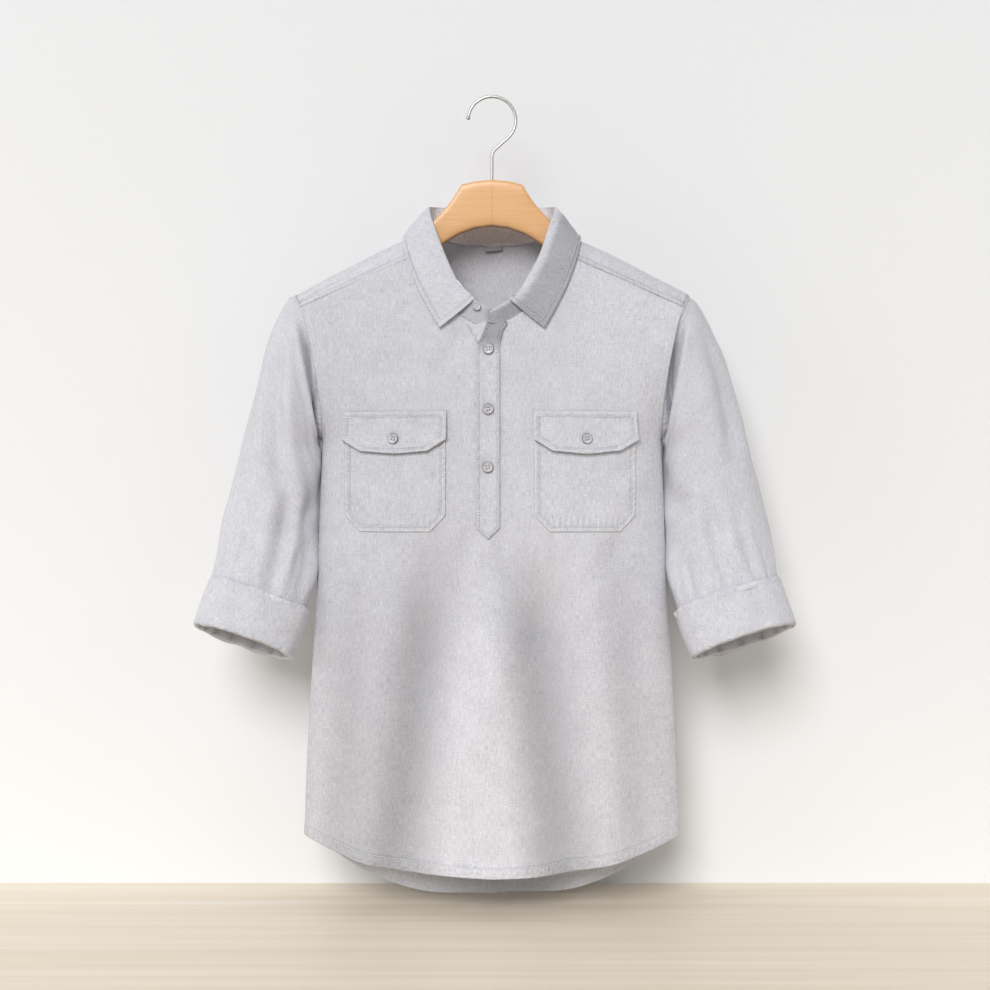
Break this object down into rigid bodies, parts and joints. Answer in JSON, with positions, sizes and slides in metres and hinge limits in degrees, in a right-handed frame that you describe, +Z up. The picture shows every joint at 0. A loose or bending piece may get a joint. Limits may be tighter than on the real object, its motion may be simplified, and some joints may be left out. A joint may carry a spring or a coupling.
{
  "type": "short kurta",
  "caption": "Short kurta in pale grey woven cloth, with a shirt collar, half placket, flap pockets and turned-up cuffs, hung on a wooden hanger.",
  "frame": {"origin": "underside of the hook's crest, where the hanger hangs on a rail or nail", "axes": "+X towards the wearer's left, -Y out of the garment's front, +Z up"},
  "size_m": [0.6806, 0.1329, 0.9318],
  "materials": {
    "cloth": "matte woven",
    "button": "satin",
    "wood": "satin varnish",
    "steel": "satin"
  },
  "bodies": {
    "root": {"front": "cloth", "back": "cloth", "yoke": "cloth", "sleeve_right": "cloth", "sleeve_left": "cloth", "cuff_right": "cloth", "cuff_left": "cloth", "collar_stand": "cloth", "collar_leaf": "cloth", "placket_under": "cloth", "placket_top": "cloth", "pocket_right": "cloth", "pocket_left": "cloth", "flap_right": "cloth", "flap_left": "cloth", "neck_tab": "cloth", "button_1": "button", "button_2": "button", "button_3": "button", "button_stand": "button", "flap_button_right": "button", "flap_button_left": "button", "hanger_wood": "wood", "hanger_hook": "steel"}
  },
  "joints": []
}
